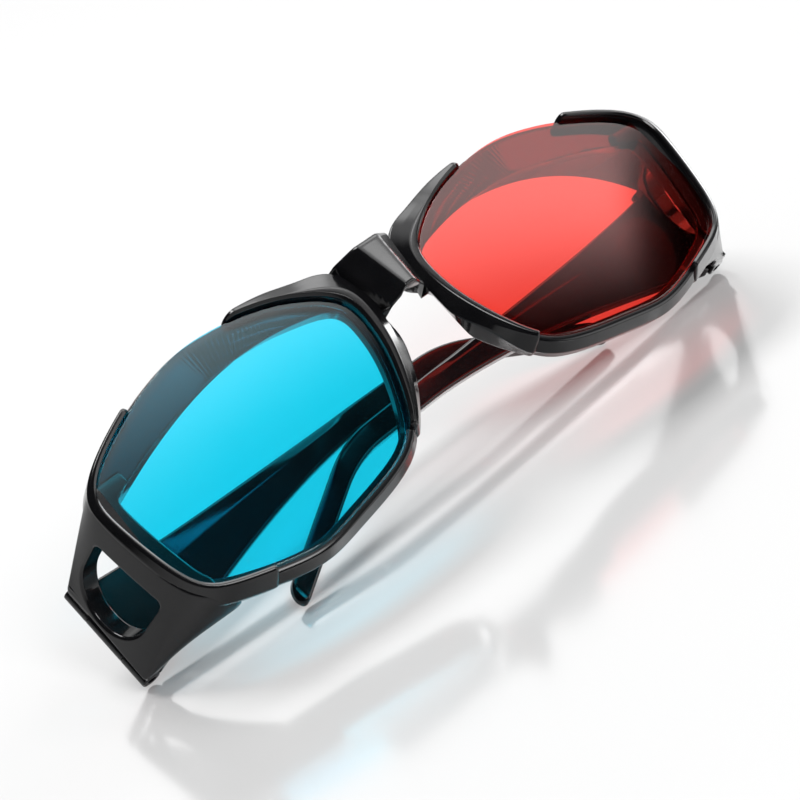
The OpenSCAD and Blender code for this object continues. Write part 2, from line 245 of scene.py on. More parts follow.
rim_corners = np.stack([np.stack(corner, 1) for corner in (
    (pocket, edge_at), (pocket + edge_wide, front_at), (flat, front_at), (flat + facet, facet_at),
    (girth, girth_at), (outside_back, back_at), (np.minimum(inside_back, outside_back - LEAST_BACK), back_at),
    (inside, lens_back), (pocket, lens_back))], 1)
rim_section = rounded_loops(rim_corners, np.tile(RIM_ROUNDS, (len(rim_places), 1)), 6)
rim_flat = edge_points[:, None] + rim_section[..., :1] * edge_out[:, None]
rim_points = np.stack([rim_flat[..., 0], rim_section[..., 1] + bow(rim_flat[..., 0]), rim_flat[..., 1]], -1)
rim_points = nose_limit(rim_points)
front_shells = []
for side in (-1, 1):
    turned = rim_points * (side, 1, 1)
    front_shells.append(shell("rim", lay(turned).reshape(-1, 3), closed_tube(turned)))


# Saddle: the moulded bridge over the nose, of one piece with the rims. It is a blunt wedge with a narrow flat
# in front and two flanks, and under it an arch that rises towards the back is left free for the nose.
SADDLE_HALF, SADDLE_OUT, SADDLE_TILT, SADDLE_TOP_ROUND, SADDLE_LOW_ROUND = 7.4, 4.2, 1.7, 1.0, 0.5
SADDLE_TOP_AT, SADDLE_TOP_UP = (0, 2.6, 6.1, 7.4), (-3.3, -3.25, -2.95, -2.6)
SADDLE_BACK_UP, SADDLE_BACK_AT = (-20, -10, -5, -2), (6.2, 7.4, 6.7, 4.2)
# Half widths of the flat and of the flanks' feet, at the top and at the arch, and how the flanks run back
FOOT_TOP, FOOT_ARCH, FRONT_TOP, FRONT_ARCH = 6.1, 3.9, 2.6, 1.2
FOOT_BACK, FOOT_LEAN, FOLD_ROUND, FLANK_STEEP, FLANK_MOST = 0.3, 1.6, 0.12, 3.5, 2.6
ARCH_RADIUS, ARCH_RISE, LEG_FROM, SPREAD_TO, SPREAD_TALL = 4.4, math.tan(math.radians(16)), 2.2, 9.2, 6


def slab_faces(columns, rows):
    """Faces of a closed slab: a front grid, a back grid and the walls between their edges."""
    size = columns * rows
    def at(i, j, back):
        return back * size + i * rows + j
    faces = []
    for i in range(columns - 1):
        for j in range(rows - 1):
            faces.append((at(i, j, 0), at(i + 1, j, 0), at(i + 1, j + 1, 0), at(i, j + 1, 0)))
            faces.append((at(i, j, 1), at(i, j + 1, 1), at(i + 1, j + 1, 1), at(i + 1, j, 1)))
        for j in (0, rows - 1):
            faces.append((at(i, j, 0), at(i, j, 1), at(i + 1, j, 1), at(i + 1, j, 0)))
    for j in range(rows - 1):
        for i in (0, columns - 1):
            faces.append((at(i, j, 0), at(i, j + 1, 0), at(i, j + 1, 1), at(i, j, 1)))
    return faces


def edge_drop(distance, radius):
    """How far a rounded edge falls away at a distance from that edge."""
    return radius - np.sqrt(np.clip(radius ** 2 - np.square(np.clip(radius - distance, 0, None)), 0, None))


saddle_x = np.unique(np.round(np.concatenate([np.linspace(-SADDLE_HALF, SADDLE_HALF, 61),
                                              np.linspace(-ARCH_RADIUS, ARCH_RADIUS, 41)]), 4))
saddle_top = np.interp(np.abs(saddle_x), SADDLE_TOP_AT, SADDLE_TOP_UP)
arch_x = np.minimum(np.abs(saddle_x), LEG_FROM)
saddle_low = ARCH_UP - ARCH_RADIUS + np.sqrt(ARCH_RADIUS ** 2 - arch_x ** 2)
saddle_edge = np.array([0, 0.03, 0.1, 0.22, 0.4, 0.65, 1.0])
saddle_share = np.linspace(0, 1, 26)[1:-1]
grid_x, grid_up, grid_low, grid_high = [], [], [], []
for x, high, low in zip(saddle_x, saddle_top, saddle_low):
    span = high - low
    up = np.concatenate([low + saddle_edge, low + 1 + (span - 2) * saddle_share, high - saddle_edge[::-1]])
    grid_x.append(np.full_like(up, x))
    grid_up.append(up)
    grid_low.append(up - low)
    grid_high.append(high - up)
grid_x, grid_up, grid_low, grid_high = (np.array(v) for v in (grid_x, grid_up, grid_low, grid_high))


def soft_max(a, b, round_by):
    """The greater of two values, with a rounded change from one to the other."""
    return 0.5 * (a + b + np.sqrt((a - b) ** 2 + round_by ** 2))


down = np.clip((grid_up - SADDLE_TOP_UP[0]) / (ARCH_UP - SADDLE_TOP_UP[0]), 0, 1)
front_half = FRONT_TOP + (FRONT_ARCH - FRONT_TOP) * down
foot_half = FOOT_TOP + (FOOT_ARCH - FOOT_TOP) * down
foot_back = FOOT_BACK - FOOT_LEAN * down
along = soft_max(0, (np.abs(grid_x) - front_half) / (foot_half - front_half), FOLD_ROUND)
flank = np.minimum(along + FLANK_STEEP * np.clip(along - 1, 0, None), FLANK_MOST)
saddle_plain = -SADDLE_OUT + SADDLE_TILT * (0.5 - down)
saddle_front = saddle_plain + (foot_back - saddle_plain) * flank
saddle_back = np.interp(grid_up, SADDLE_BACK_UP, SADDLE_BACK_AT)
spread = (GAP_SLOPE * (saddle_back - saddle_front) * np.clip(np.abs(grid_x) / ARCH_RADIUS, 0, 1)
          * np.clip(1 - grid_low / SPREAD_TALL, 0, 1))
back_x = np.sign(grid_x) * np.minimum(np.abs(grid_x) + spread, np.maximum(np.abs(grid_x), SPREAD_TO))
fall = edge_drop(grid_high, SADDLE_TOP_ROUND) + edge_drop(grid_low, SADDLE_LOW_ROUND)
back_up = grid_up + np.clip(1 - grid_low / (grid_low + grid_high), 0, 1) * ARCH_RISE * (saddle_back + SADDLE_OUT)
# The arch climbs and widens towards the back, as the nose does
saddle_points = np.concatenate([
    np.stack([grid_x, saddle_front + fall, grid_up], -1).reshape(-1, 3),
    np.stack([back_x, saddle_back - fall, back_up], -1).reshape(-1, 3)])
front_shells.append(shell("saddle", lay(saddle_points), slab_faces(*grid_x.shape)))


# End pieces: a wall at each end of the front, moulded with it, that runs back from the lip to the hinge. It
# has a D-shaped side window, and under a soft ridge its lower face turns in below the rim. Inside the corner
# a web of the same moulding stiffens it against the brow.
WALL_X, WALL_END, WALL_THICK = 73.9, 28.25, 3.6
END_TOP, END_LOW, RIM_TOP, RIM_LOW, RIDGE_UP = -15.8, -37.4, -9.3, -41.3, -34.2
WINDOW_BACK, WINDOW_UP, WINDOW_RADIUS, WINDOW_FLAT, WINDOW_CORNER = 19.2, -24.4, 7.7, 6.8, 1.5
WALL_ROUND, WALL_LEAST = 0.55, 1.8
# Where the wall leaves the lip, and how its lower face leans in
LIP_END_X, LIP_END_BACK, WALL_SUNK, UNDER_LEAN = 66.0, 1.2, 0.12, 0.35
INSIDE_AT, INSIDE_X = (6, 10.6, 12, WALL_END), (60, 61.5, 66, WALL_X - WALL_THICK)
# Outline of the wall from the side (back, up), and the rounding of its corners
WALL_CORNERS = [(7, RIM_TOP), (16, -11.95), (WALL_END, END_TOP), (WALL_END, END_LOW), (20, END_LOW - 1),
                (11, RIM_LOW + 0.6), (7.2, RIM_LOW + 3)]
WALL_CORNER_ROUNDS = [1.5, 3, 0.5, 0.5, 4, 2, 2]

lip_run = np.linspace(2.2, 9.6, 160)
lip_points, lip_out = lens_edge(lip_run)
lip_line = lip_points + lip_width(lip_run)[0][:, None] * lip_out
open_line = lip_points + rim_opening(lip_run)[:, None] * lip_out


def wall_outside(back, up):
    """Outer face of the wall, ruled from the outside of the lip to the hinge."""
    lip_back = bow(LIP_END_X) + LIP_END_BACK
    part = np.clip((back - lip_back) / (WALL_END - lip_back), 0, 1)
    ridge, top, low = (RIDGE_UP + (END_LOW - RIDGE_UP) * part, RIM_TOP + (END_TOP - RIM_TOP) * part,
                       RIM_LOW + (END_LOW - 1 - RIM_LOW) * part)
    at_lip = np.where(up > ridge, RIDGE_UP + (up - ridge) / (top - ridge) * (RIM_TOP - RIDGE_UP),
                      RIDGE_UP + (up - ridge) / (low - ridge) * (RIM_LOW - RIDGE_UP))
    from_lip = np.interp(-at_lip, -lip_line[:, 1], lip_line[:, 0]) - WALL_SUNK
    to_hinge = WALL_X - UNDER_LEAN * np.clip(RIDGE_UP - at_lip, 0, None)
    return from_lip + (to_hinge - from_lip) * part


def wall_inside(back, up):
    """Inner face of the wall, which keeps out of the rim's opening."""
    plan = np.interp(back, INSIDE_AT, INSIDE_X)
    return np.maximum(plan, np.interp(-up, -open_line[:, 1], open_line[:, 0]))


def loop_of(corners, radii, steps):
    """One closed section with rounded corners."""
    return rounded_loops(np.array([corners], float), np.array([radii], float), steps)[0]


def even_loop(loop, spacing):
    """Points along a closed loop at about equal distances, corners of the loop kept."""
    made = []
    for a, b in zip(loop, np.roll(loop, -1, 0)):
        pieces = max(1, int(np.ceil(np.linalg.norm(b - a) / spacing)))
        made += [a + (b - a) * i / pieces for i in range(pieces)]
    return np.array(made)


wall_loop = even_loop(loop_of(WALL_CORNERS, WALL_CORNER_ROUNDS, 8), 0.7)
window_arc = np.linspace(-0.5 * math.pi, 0.5 * math.pi, 48)
window_loop = np.concatenate([
    np.stack([WINDOW_BACK + WINDOW_RADIUS * np.cos(window_arc), WINDOW_UP + WINDOW_RADIUS * np.sin(window_arc)], 1),
    *[np.stack([WINDOW_BACK - WINDOW_FLAT + WINDOW_CORNER + WINDOW_CORNER * np.cos(turn),
                WINDOW_UP + s * (WINDOW_RADIUS - WINDOW_CORNER) + WINDOW_CORNER * np.sin(turn)], 1)
      for s, turn in ((1, np.linspace(0.5, 1, 10) * math.pi), (-1, np.linspace(1, 1.5, 10) * math.pi))]])
window_mid = np.array([WINDOW_BACK, WINDOW_UP])


def ray_reach(loop, angles):
    """Distance from the window's middle to a closed loop in each direction."""
    reach = np.zeros(len(angles))
    a, b = loop - window_mid, np.roll(loop, -1, 0) - window_mid
    for i, angle in enumerate(angles):
        d = np.array([math.cos(angle), math.sin(angle)])
        e = b - a
        cross = d[0] * e[:, 1] - d[1] * e[:, 0]
        with np.errstate(divide="ignore", invalid="ignore"):
            along = (a[:, 0] * e[:, 1] - a[:, 1] * e[:, 0]) / cross
            share = (a[:, 0] * d[1] - a[:, 1] * d[0]) / cross
        good = (share >= -1e-9) & (share <= 1 + 1e-9) & (along > 0) & np.isfinite(along)
        reach[i] = along[good].max()
    return reach


wall_angles = np.unique(np.round(np.concatenate([
    np.arctan2(*(wall_loop - window_mid).T[::-1]), np.arctan2(*(window_loop - window_mid).T[::-1])]), 3))
wall_angles = wall_angles[np.insert(np.diff(wall_angles) > 0.006, 0, True)]
near, far = ray_reach(window_loop, wall_angles), ray_reach(wall_loop, wall_angles)
wall_edge = np.array([0, 0.03, 0.1, 0.2, 0.34, 0.55, 0.75])
wall_mid = np.linspace(0, 1, 16)[1:-1]
steps_out = np.array([np.concatenate([a + wall_edge, a + 0.75 + (b - a - 1.5) * wall_mid, b - wall_edge[::-1]])
                      for a, b in zip(near, far)])
ray = np.stack([np.cos(wall_angles), np.sin(wall_angles)], 1)
wall_grid = window_mid + steps_out[..., None] * ray[:, None]
wall_drop = edge_drop(np.minimum(steps_out - near[:, None], far[:, None] - steps_out), WALL_ROUND)
outer_x = wall_outside(wall_grid[..., 0], wall_grid[..., 1])
inner_x = np.minimum(wall_inside(wall_grid[..., 0], wall_grid[..., 1]), outer_x - WALL_LEAST)
wall_points = np.concatenate([np.stack([outer_x - wall_drop, wall_grid[..., 0], wall_grid[..., 1]], -1),
                              np.stack([inner_x + wall_drop, wall_grid[..., 0], wall_grid[..., 1]], -1)[:, ::-1]], 1)

# Corner web inside each end, from the brow to the top of the wall: its free edge, and where it is rooted
WEB_FROM, WEB_TO, WEB_BACK, WEB_RUN, WEB_BEND, WEB_TALL, WEB_ROUND = 26.0, 70.0, 8.8, 19.4, 1.9, 1.2, 0.35
WEB_UP, WEB_FALL, WEB_FALL_FROM = -6, 0.576, 11
WEB_ROOT_AT = (0, 0.116, 0.23, 0.345, 0.459, 0.573, 0.684, 0.795, 0.909, 1)
WEB_ROOT = np.array([
    (26, 7.5, -3.5), (31, 8, -3.5), (38, 8.7, -4), (45, 9.5, -4.5), (53, 10.5, -6.5), (62, 11, -9),
    (67.5, 13, -12.8), (69.8, 17, -13.8), (71, 22, -15.4), (72, 27.5, -17.4)])


def capped_loft(rings):
    """Faces of a tube through rings, closed by a fan at each end."""
    count, size = len(rings), len(rings[0])
    return closed_tube(rings, False) + [tuple(range(size))[::-1], tuple((count - 1) * size + k for k in range(size))]


web_share = np.linspace(0, 1, 45)
web_back = WEB_BACK + WEB_RUN * web_share ** WEB_BEND
web_edge = np.stack([WEB_FROM + (WEB_TO - WEB_FROM) * web_share, web_back,
                     WEB_UP - WEB_FALL * (web_back - WEB_FALL_FROM)], 1)
web_root = np.stack([np.interp(web_share, WEB_ROOT_AT, column) for column in WEB_ROOT.T], 1)
web_lift = np.array([0, 0, WEB_TALL])
web_rings = rounded_loops(np.stack([web_edge, web_root, web_root + web_lift, web_edge + web_lift], 1),
                          np.full((len(web_share), 4), WEB_ROUND), 5)
for side in (-1, 1):
    for points, faces in ((wall_points, closed_tube(wall_points)), (web_rings, capped_loft(web_rings))):
        front_shells.append(shell("wall", lay(points * (side, 1, 1)).reshape(-1, 3), faces))


# Front knuckles: an upper and a lower barrel at the back edge of each end piece, moulded with it and
# bored for the hinge screw; the upper one is sunk for the screw head.
HINGE_X, HINGE_BACK, HINGE_UP, HINGE_SPAN = 72.0, 30.5, -26.6, 21.6
DROP_LEFT, DROP_RIGHT = math.radians(-1), math.radians(3.2)
KNUCKLE_RADIUS, KNUCKLE_TALL, BORE_RADIUS, HEAD_BORE_RADIUS, HEAD_TALL = 1.9, 6.05, 0.85, 1.35, 1.0


def at_hinge(points, side):
    """Carries points about a hinge on the upright axis to one side of the front."""
    tilt = -DROP_RIGHT if side > 0 else DROP_LEFT
    x, back, up = np.moveaxis(np.asarray(points, float), -1, 0)
    return np.stack([x * math.cos(tilt) + up * math.sin(tilt) + side * HINGE_X, back + HINGE_BACK,
                     up * math.cos(tilt) - x * math.sin(tilt) + HINGE_UP], -1)


def turned_rings(profile, count):
    """Rings of a turned shape from its (radius, height) loop; the rings close on themselves."""
    turn = np.linspace(0, 2 * math.pi, count + 1)[:-1]
    return np.array([[(r * math.cos(a), r * math.sin(a), h) for r, h in profile] for a in turn])


def rounded_bar(half_x, back_from, back_to, low, high, round_by):
    """Rings of an upright bar with rounded long edges."""
    loop = loop_of([(-half_x, back_from), (half_x, back_from), (half_x, back_to), (-half_x, back_to)],
                   [round_by] * 4, 5)
    mid = loop.mean(0)
    rings = []
    for up, inset in ((low, 0.3), (low + 0.1, 0.1), (low + 0.3, 0),
                      (high - 0.3, 0), (high - 0.1, 0.1), (high, 0.3)):
        part = mid + (loop - mid) * (1 - inset / np.abs(loop - mid).max())
        rings.append(np.concatenate([part, np.full((len(part), 1), up)], 1))
    return np.array(rings)


for side in (-1, 1):
    for low in (HINGE_SPAN / 2 - KNUCKLE_TALL, -HINGE_SPAN / 2):
        high = low + KNUCKLE_TALL
        if low > 0:
            profile = [(BORE_RADIUS, low), (KNUCKLE_RADIUS, low), (KNUCKLE_RADIUS, high), (HEAD_BORE_RADIUS, high),
                       (HEAD_BORE_RADIUS, high - HEAD_TALL), (BORE_RADIUS, high - HEAD_TALL)]
            rounds = [0.05, 0.08, 0.3, 0.12, 0.05, 0.05]
        else:
            profile = [(BORE_RADIUS, low), (KNUCKLE_RADIUS, low), (KNUCKLE_RADIUS, high), (BORE_RADIUS, high)]
            rounds = [0.1, 0.3, 0.08, 0.05]
        barrel = at_hinge(turned_rings(loop_of(profile, rounds, 4), 56), side)
        front_shells.append(shell("barrel", lay(barrel).reshape(-1, 3), closed_tube(barrel)))
        web = at_hinge(rounded_bar(KNUCKLE_RADIUS - 0.45, -3.9, -1.0, low + 0.03, high - 0.03, 0.35), side)
        front_shells.append(shell("web", lay(web).reshape(-1, 3), capped_loft(web)))


class Wire:
    """One output socket of a node tree; arithmetic on it adds Math nodes."""
    def __init__(self, tree, socket=None):
        self.tree, self.socket = tree, socket

    def node(self, kind, settings=None, sockets=None, output=0):
        """Adds a node: its settings first, then the values or links of its sockets."""
        made = self.tree.nodes.new(kind)
        for name, value in (settings or {}).items():
            if name == "stops":
                ramp = made.color_ramp
                while len(ramp.elements) < len(value):
                    ramp.elements.new(0.5)
                for element, (place, colour) in zip(ramp.elements, value):
                    element.position, element.color = place, colour
            else:
                setattr(made, name, value)
        for name, value in (sockets or {}).items():
            if isinstance(value, Wire):
                self.tree.links.new(value.socket, made.inputs[name])
            else:
                made.inputs[name].default_value = value
        return Wire(self.tree, made.outputs[output]) if len(made.outputs) else None

    def _math(self, operation, a, b):
        return self.node("ShaderNodeMath", {"operation": operation}, {0: a, 1: b})

    def __add__(self, other):
        return self._math("ADD", self, other)

    def __radd__(self, other):
        return self._math("ADD", other, self)

    def __sub__(self, other):
        return self._math("SUBTRACT", self, other)

    def __rsub__(self, other):
        return self._math("SUBTRACT", other, self)

    def __mul__(self, other):
        return self._math("MULTIPLY", self, other)

    def __rmul__(self, other):
        return self._math("MULTIPLY", other, self)

    def __pow__(self, other):
        return self._math("POWER", self, other)


def blank_finish(name):
    """An empty material and a wire to build it with."""
    material = bpy.data.materials.new(name)
    material.use_nodes = True
    material.node_tree.nodes.clear()
    return material, Wire(material.node_tree)


def black_plastic(name, gloss, seed):
    """Glossy black moulding: faint flow marks, orange peel, handling haze and fine hairline scuffs."""
    material, wire = blank_finish(name)
    place = wire.node("ShaderNodeTexCoord", output="Object")
    def noise(scale, detail, offset):
        return wire.node("ShaderNodeTexNoise", {"noise_dimensions": "4D"},
                         {"Vector": place, "W": seed + offset, "Scale": scale, "Detail": detail, "Roughness": 0.55})
    haze = noise(70.0, 3.0, 1.0)
    peel = noise(900.0, 2.0, 2.0)
    flow = noise(160.0, 4.0, 3.0)
    stretched = wire.node("ShaderNodeMapping", None,
                          {"Vector": place, "Rotation": (0.3, 0.5, 0.9), "Scale": (1.0, 24.0, 24.0)})
    scuff = wire.node("ShaderNodeTexNoise", None, {"Vector": stretched, "Scale": 130.0, "Detail": 2.0})
    scuff = wire.node("ShaderNodeMapRange", {"interpolation_type": "SMOOTHSTEP"},
                      {"Value": scuff, "From Min": 0.66, "From Max": 0.78})
    colour = wire.node("ShaderNodeValToRGB",
                       {"stops": [(0.3, (0.0045, 0.0045, 0.0055, 1)), (0.7, (0.0085, 0.0085, 0.0095, 1))]},
                       {"Fac": flow})
    bump = wire.node("ShaderNodeBump", None, {"Strength": 0.12, "Distance": 0.00003, "Height": peel + 0.4 * flow})
    surface = wire.node("ShaderNodeBsdfPrincipled", None,
                        {"Base Color": colour, "Roughness": gloss + 0.1 * haze + 0.06 * scuff, "IOR": 1.5,
                         "Normal": bump})
    wire.node("ShaderNodeOutputMaterial", None, {"Surface": surface})
    return material


def fused(name, shells):
    """Unites closed shells to one mesh object."""
    base = shells[0]
    base.name = base.data.name = name
    for other in shells[1:]:
        union = base.modifiers.new("union", "BOOLEAN")
        union.operation, union.object, union.solver = "UNION", other, "MANIFOLD"
    applied(base)
    for other in shells[1:]:
        bpy.data.meshes.remove(other.data)
    return base


def applied(made):
    """Turns an object with its modifiers into a plain mesh under the same name."""
    graph = bpy.context.evaluated_depsgraph_get()
    mesh = bpy.data.meshes.new_from_object(made.evaluated_get(graph), preserve_all_data_layers=True,
                                           depsgraph=graph)
    old = made.data
    made.modifiers.clear()
    made.data = mesh
    mesh.name = made.name
    bpy.data.meshes.remove(old)
    return made


def clad(made, finish):
    """Gives every face of a piece one finish."""
    made.data.materials.clear()
    made.data.materials.append(finish)


def smoothed(made, angle):
    """Smooth shading up to an angle, weighted so that flats stay flat."""
    mesh = made.data
    mesh.shade_smooth()
    mesh.set_sharp_from_angle(angle=math.radians(angle))
    weigh = made.modifiers.new("flats", "WEIGHTED_NORMAL")
    weigh.keep_sharp = True
    return applied(made)


front = smoothed(fused("front_moulding", front_shells), 40)
clad(front, black_plastic("glossy_black_front", 0.1, 3.0))
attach(front, "front")
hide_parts("front_frame")


# Lenses: two flat-dyed plastic filters bent to the wrap of the front, cyan on the wearer's right and red on
# the left. Each is pressed into its rim from the front; its polished edge stands free between the lips.
LENS_ROUND = 0.35


def lens_shell(name, side):
    """One lens as a closed, edge-rounded sheet that follows the wrap."""
    places = np.arange(0, corner_count, 1 / 12)
    point, outward = lens_edge(places)
    middle = np.array([LENS_IN + 0.5 * LENS_WIDE, LENS_UP - 0.47 * LENS_HIGH])
    rim_point = point - LENS_ROUND * outward
    rings = [(middle + (rim_point - middle) * share, 0.0) for share in np.linspace(0, 1, 15)[1:-1]]
    for a in np.linspace(0, 0.5 * math.pi, 6):
        rings.append((point - LENS_ROUND * (1 - math.sin(a)) * outward, LENS_ROUND * (1 - math.cos(a))))
    thick = LENS_BACK - LENS_FRONT
    rings += [(ring, thick - depth) for ring, depth in rings[::-1]]
    stack = np.array([np.stack([ring[:, 0], LENS_FRONT + depth + bow(ring[:, 0]), ring[:, 1]], 1)
                      for ring, depth in rings]) * (side, 1, 1)
    count, size = len(stack), len(places)
    ends = np.array([(side * middle[0], LENS_FRONT + w + bow(middle[0]), middle[1]) for w in (0.0, thick)])
    faces = closed_tube(stack, False)
    first, last = count * size, count * size + 1
    for k in range(size):
        m = (k + 1) % size
        faces.append((first, m, k))
        faces.append((last, (count - 1) * size + k, (count - 1) * size + m))
    return shell(name, lay(np.concatenate([stack.reshape(-1, 3), ends])), faces)


def dyed_filter(name, through, sheen, seed):
    """Clear dyed plastic: tinted see-through body under a polished skin with faint smears and dust."""
    material, wire = blank_finish(name)
    place = wire.node("ShaderNodeTexCoord", output="Object")
    smear = wire.node("ShaderNodeTexNoise", {"noise_dimensions": "4D"},
                      {"Vector": place, "W": seed, "Scale": 55.0, "Detail": 4.0, "Roughness": 0.6})
    dust = wire.node("ShaderNodeTexNoise", {"noise_dimensions": "4D"},
                     {"Vector": place, "W": seed + 4.0, "Scale": 2600.0, "Detail": 1.0})
    dust = wire.node("ShaderNodeMapRange", {"interpolation_type": "SMOOTHSTEP"},
                     {"Value": dust, "From Min": 0.74, "From Max": 0.82})
    ripple = wire.node("ShaderNodeBump", None, {"Strength": 0.05, "Distance": 0.00002, "Height": smear})
    facing = wire.node("ShaderNodeLayerWeight", None, {"Blend": 0.5}, "Facing")
    gloss = 0.06 + 0.08 * facing ** 5.0
    skin = wire.node("ShaderNodeBsdfPrincipled", None,
                     {"Base Color": (*sheen, 1), "Metallic": 1.0, "Roughness": 0.03 + 0.05 * smear + 0.2 * dust,
                      "Normal": ripple})
    # Light passes both faces of the lens, so each has the root of the tint
    body = wire.node("ShaderNodeBsdfTransparent", None, {"Color": (*[math.sqrt(v) for v in through], 1)})
    mixed = wire.node("ShaderNodeMixShader", None, {0: gloss + 0.015 * dust, 1: body, 2: skin})
    wire.node("ShaderNodeOutputMaterial", None, {"Surface": mixed})
    return material


for name, side, slot, finish in (
        ("cyan_filter", -1, "lens_cyan", dyed_filter("dyed_cyan", (0.012, 0.73, 1.0), (0.95, 0.98, 1.0), 1.0)),
        ("red_filter", 1, "lens_red", dyed_filter("dyed_red", (1.0, 0.06, 0.042), (1.0, 0.97, 0.96), 2.0))):
    lens = smoothed(lens_shell(name, side), 50)
    clad(lens, finish)
    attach(lens, "front")
    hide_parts(slot)


# Temples: two side arms moulded in the same black plastic, tall at the hinge and thinning to a slim arm with
# an ear hook. Each has a middle knuckle that turns on the hinge screw between the front's two knuckles.
TEMPLE_LONG, TEMPLE_THICK, ROOT_TALL, ARM_TALL, TAPER_LONG = 117.0, 2.8, 21.2, 4.7, 68.0
HOOK_AT, HOOK_SLOPE, HOOK_TURN = 82.0, math.radians(27.6), 12.0
MIDDLE_TALL, ROOT_FROM, ROOT_ROUND, TIP_LONG, TAPER_BEND = 9.2, 2.25, 0.45, 2.2, 1.7
# How the top edge steps down from the end piece, sinks behind it and falls along the arm
TOP_STEP, TOP_SINK, SINK_LONG, ARM_FALL = 0.8, 1.5, 12, 0.8
# The crease along the outer face: where it rises and fades, its height, and how the face falls away from it
CREASE_RISE, CREASE_FADE, CREASE_AT, CREASE_LOW, CREASE_HIGH = (12, 22), (66, 56), 0.3, 0.15, 0.4
# How far each folded temple stops short of the front's line, or passes it
SHORT_LEFT, PAST_RIGHT = math.radians(0.9), math.radians(3)


def temple_edges(run):
    """Height of the temple's top and its depth below it, at a distance from the hinge."""
    past = np.asarray(run, float) - HOOK_AT
    drop = np.where(past < 0, 0, np.where(past < HOOK_TURN, past ** 2 / (2 * HOOK_TURN), past - HOOK_TURN / 2))
    top = (END_TOP - TOP_STEP - TOP_SINK * (1 - np.exp(-run / SINK_LONG)) - ARM_FALL * run / TEMPLE_LONG
           - drop * math.tan(HOOK_SLOPE))
    tall = ARM_TALL + (ROOT_TALL - ARM_TALL) * np.clip(1 - run / TAPER_LONG, 0, None) ** TAPER_BEND
    return top - HINGE_UP, tall


def temple_shells(side):
    """Arm, knuckle and knuckle web of one temple, folded behind the front."""
    tip_from = TEMPLE_LONG - TIP_LONG
    runs = np.concatenate([[ROOT_FROM, ROOT_FROM + 0.06, ROOT_FROM + 0.2, ROOT_FROM + ROOT_ROUND],
                           np.linspace(ROOT_FROM + 1, tip_from, 110),
                           tip_from + TIP_LONG * np.sin(np.linspace(0, 0.5 * math.pi, 10))[1:]])
    rings = []
    for run in runs:
        top, tall = (float(v) for v in temple_edges(run))
        half = TEMPLE_THICK / 2
        inset = float(edge_drop(np.array(run - ROOT_FROM), ROOT_ROUND))
        if run > tip_from:
            end = (run - tip_from) / TIP_LONG
            keep = math.sqrt(max(1 - end ** 2, 0.0009))
            middle = top - 0.45 * tall
            top, tall = middle + 0.45 * tall * keep, tall * keep
            half *= 0.25 + 0.75 * keep
        top, tall, half = top - inset, tall - 2 * inset, half - inset
        crease = float(smooth(*CREASE_RISE, run) * smooth(*CREASE_FADE, run))
        soft = min(0.7, 0.4 * tall)
        section = loop_of([(-half, top - tall), (half - CREASE_LOW * crease, top - tall),
                           (half, top - tall * CREASE_AT), (half - CREASE_HIGH * crease, top), (-half, top)],
                          [soft, soft, 0.25, soft, soft], 6)
        rings.append(np.stack([section[:, 0] * -side, np.full(len(section), run), section[:, 1]], 1))
    arm = np.array(rings)
    profile = [(BORE_RADIUS, -MIDDLE_TALL / 2), (KNUCKLE_RADIUS, -MIDDLE_TALL / 2), (KNUCKLE_RADIUS, MIDDLE_TALL / 2),
               (BORE_RADIUS, MIDDLE_TALL / 2)]
    barrel = turned_rings(loop_of(profile, [0.05, 0.08, 0.08, 0.05], 4), 56)
    web = rounded_bar(TEMPLE_THICK / 2 - 0.02, 1.0, ROOT_FROM + 1,
                      -MIDDLE_TALL / 2 + 0.02, MIDDLE_TALL / 2 - 0.02, 0.3)
    fold = SHORT_LEFT - math.pi / 2 if side < 0 else math.pi / 2 + PAST_RIGHT
    made = []
    for part, (rings, faces) in {"arm": (arm, capped_loft(arm)), "barrel": (barrel, closed_tube(barrel)),
                                 "web": (web, capped_loft(web))}.items():
        x, back, up = np.moveaxis(rings, -1, 0)
        turned = np.stack([x * math.cos(fold) - back * math.sin(fold),
                           x * math.sin(fold) + back * math.cos(fold), up], -1)
        made.append(shell(part, lay(at_hinge(turned, side)).reshape(-1, 3), faces))
    return made


temple_finish = black_plastic("glossy_black_temple", 0.05, 11.0)
for side, name in ((-1, "left"), (1, "right")):
    temple = smoothed(fused("temple_moulding_" + name, temple_shells(side)), 40)
    clad(temple, temple_finish)
    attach(temple, "temple_%s_arm" % name)
    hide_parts("temple_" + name)


# Hinge screws: two turned steel screws with slotted cheese heads, one through each hinge. They are driven in
# from above and held by the front, and the temples turn on them.
SCREW_RADIUS, SCREW_HEAD_RADIUS, SLOT_WIDE, SLOT_DEEP = 0.8, 1.3, 0.4, 0.4
# The dome that rounds the head, as shares of the head's radius and height
DOME_RADIUS, DOME_SUNK = 1.28, -0.42


def brushed_steel(name):
    """Turned steel: a fine grain from the tool under uneven, darker stains."""
    material, wire = blank_finish(name)
    place = wire.node("ShaderNodeTexCoord", output="Object")
    grain = wire.node("ShaderNodeTexNoise", None, {"Vector": place, "Scale": 4200.0, "Detail": 3.0})
    stain = wire.node("ShaderNodeTexNoise", None, {"Vector": place, "Scale": 900.0, "Detail": 2.0})
    colour = wire.node("ShaderNodeValToRGB",
                       {"stops": [(0.3, (0.32, 0.32, 0.33, 1)), (0.7, (0.66, 0.66, 0.68, 1))]}, {"Fac": stain})
    bump = wire.node("ShaderNodeBump", None, {"Strength": 0.2, "Distance": 0.00002, "Height": grain})
    surface = wire.node("ShaderNodeBsdfPrincipled", None,
                        {"Base Color": colour, "Metallic": 1.0, "Roughness": 0.22 + 0.2 * grain, "Normal": bump})
    wire.node("ShaderNodeOutputMaterial", None, {"Surface": surface})
    return material


